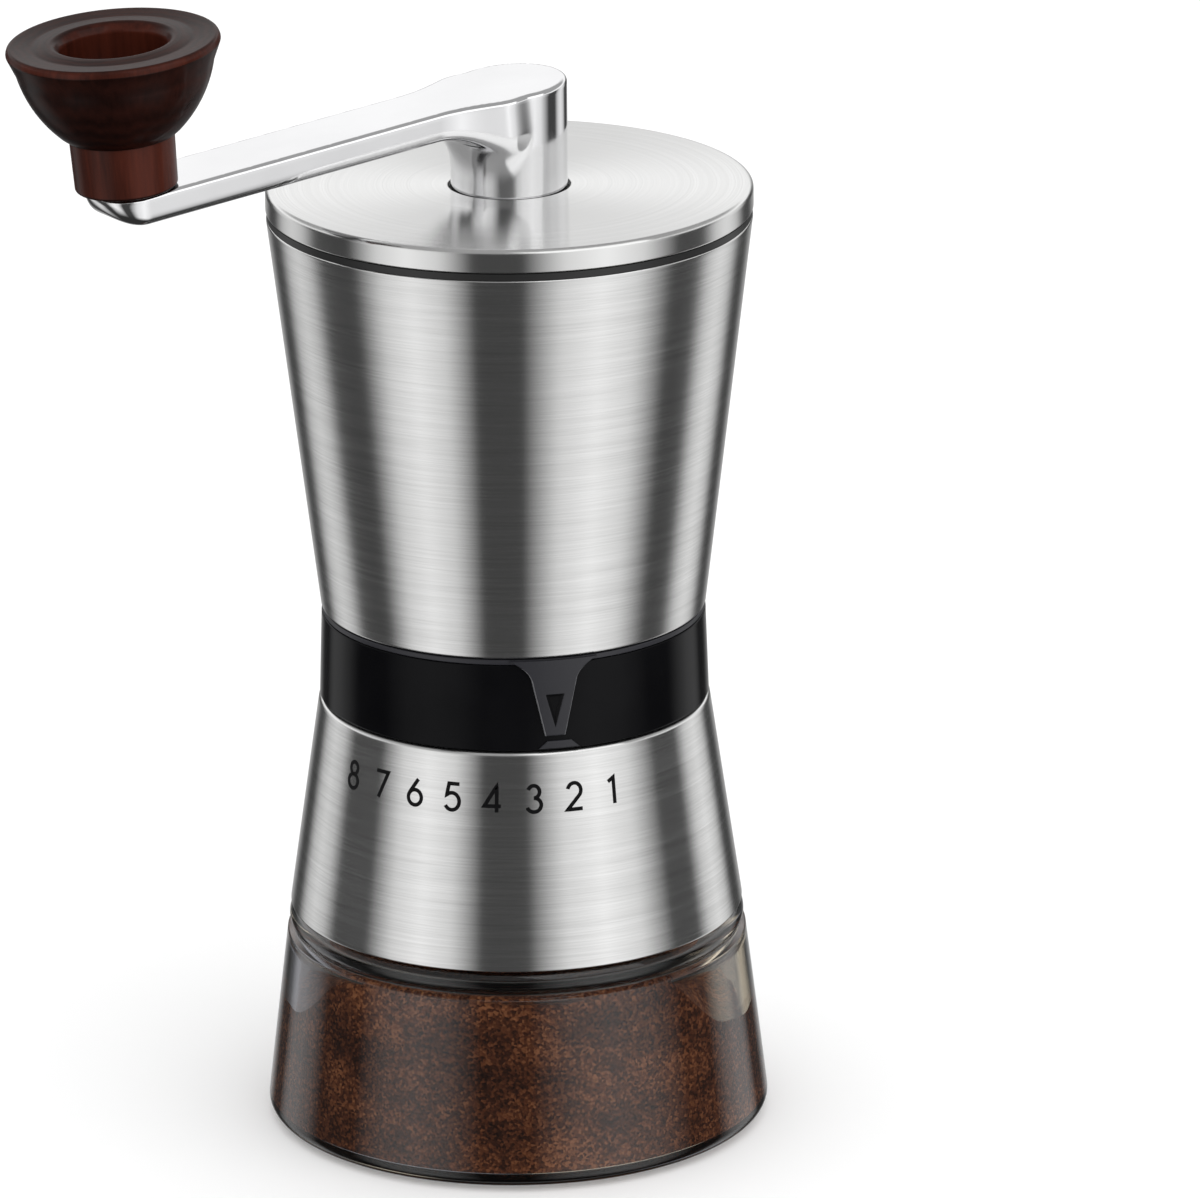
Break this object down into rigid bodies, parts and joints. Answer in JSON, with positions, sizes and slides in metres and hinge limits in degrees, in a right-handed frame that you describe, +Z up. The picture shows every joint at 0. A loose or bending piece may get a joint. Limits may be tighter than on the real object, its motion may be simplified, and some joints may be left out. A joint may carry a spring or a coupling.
{
  "type": "hand crank coffee grinder",
  "caption": "Hand coffee grinder with waisted steel body, black click ring and numbered skirt for the grind, glass catch jar, steel lid and side crank with a turned wooden knob.",
  "frame": {"origin": "centre of the foot pad's underside, on the grinding axis", "axes": "+Z up along the grinding axis from the foot pad to the lid; -Y the front, toward the numbers and the pointer tab; the crank arm points to -X and -Y"},
  "size_m": [0.1165, 0.0966, 0.1898],
  "materials": {
    "clear_glass": "clear polished soda-lime glass",
    "grey_silicone": "matte silicone",
    "red_silicone": "matte silicone",
    "brushed_steel": "stainless, fine circumferential brushing",
    "spun_steel": "stainless, spun with a bright concentric grain",
    "bright_steel": "polished bright",
    "gloss_black": "glossy moulded",
    "matte_dark": "fine matte moulded",
    "black_plastic": "satin moulded",
    "white_plastic": "natural acetal",
    "screw_steel": "plain turned steel",
    "spring_steel": "drawn wire",
    "ceramic": "sintered white ceramic",
    "brass": "turned",
    "dark_wood": "dark stained hardwood under gloss lacquer",
    "ground_coffee": "loose medium-coarse grounds, filling the jar",
    "print_black": "thin printed ink"
  },
  "bodies": {
    "jar": {"glass_jar": "clear_glass", "foot_pad": "grey_silicone"},
    "housing": {"lower_skirt": "brushed_steel", "jar_adapter": "black_plastic", "jar_gasket": "red_silicone", "mill_chassis": "black_plastic", "chassis_screws": "screw_steel", "upper_shell": "brushed_steel", "hopper_liner": "black_plastic", "liner_screws": "screw_steel", "bearing_bridge": "bright_steel", "bridge_screws": "screw_steel", "top_bush": "white_plastic", "lower_bush": "white_plastic", "detent_ball": "bright_steel", "detent_spring": "spring_steel"},
    "adjuster": {"adjusting_ring": "gloss_black", "pointer_tab": "matte_dark"},
    "carrier": {"burr_carrier": "white_plastic", "outer_burr": "ceramic", "burr_retainer": "spring_steel", "carrier_spring": "spring_steel"},
    "rotor": {"drive_shaft": "screw_steel", "shaft_clip": "spring_steel", "inner_burr": "ceramic", "burr_washer": "screw_steel", "burr_nut": "screw_steel"},
    "lid": {"lid_cap": "spun_steel", "lid_insert": "black_plastic", "lid_seal": "grey_silicone", "lid_bush": "black_plastic"},
    "crank": {"crank_arm": "bright_steel", "drive_socket": "screw_steel", "crank_clip": "spring_steel", "knob_pin": "screw_steel", "knob_washer": "screw_steel"},
    "knob": {"knob": "dark_wood", "knob_sleeve": "brass"}
  },
  "joints": [
    {"name": "housing_lift", "type": "slide", "parent": "jar", "child": "housing", "axis": [0, 0, 1], "range_m": [0, 0.06]},
    {"name": "ring_turn", "type": "hinge", "parent": "housing", "child": "adjuster", "pos_m": [0, 0, 0.078], "axis": [0, 0, 1], "range_deg": [-63.9, 16.6]},
    {"name": "carrier_lift", "type": "slide", "parent": "housing", "child": "carrier", "axis": [0, 0, 1], "range_m": [-0.0003, 0.00112], "deforming": ["carrier_spring"]},
    {"name": "rotor_spin", "type": "hinge", "parent": "housing", "child": "rotor", "pos_m": [0, 0, 0.09], "axis": [0, 0, 1], "continuous": true},
    {"name": "lid_lift", "type": "slide", "parent": "housing", "child": "lid", "axis": [0, 0, 1], "range_m": [0, 0.06]},
    {"name": "crank_spin", "type": "hinge", "parent": "lid", "child": "crank", "pos_m": [0, 0, 0.15], "axis": [0, 0, 1], "continuous": true},
    {"name": "knob_spin", "type": "hinge", "parent": "crank", "child": "knob", "pos_m": [-0.05833, -0.03887, 0.16489], "axis": [-0.068, -0.0453, 0.9967], "continuous": true}
  ],
  "couplings": [
    {"joint": "rotor_spin", "follows": "crank_spin", "ratio": 1},
    {"joint": "carrier_lift", "follows": "ring_turn", "m_per_rad": -0.001}
  ]
}
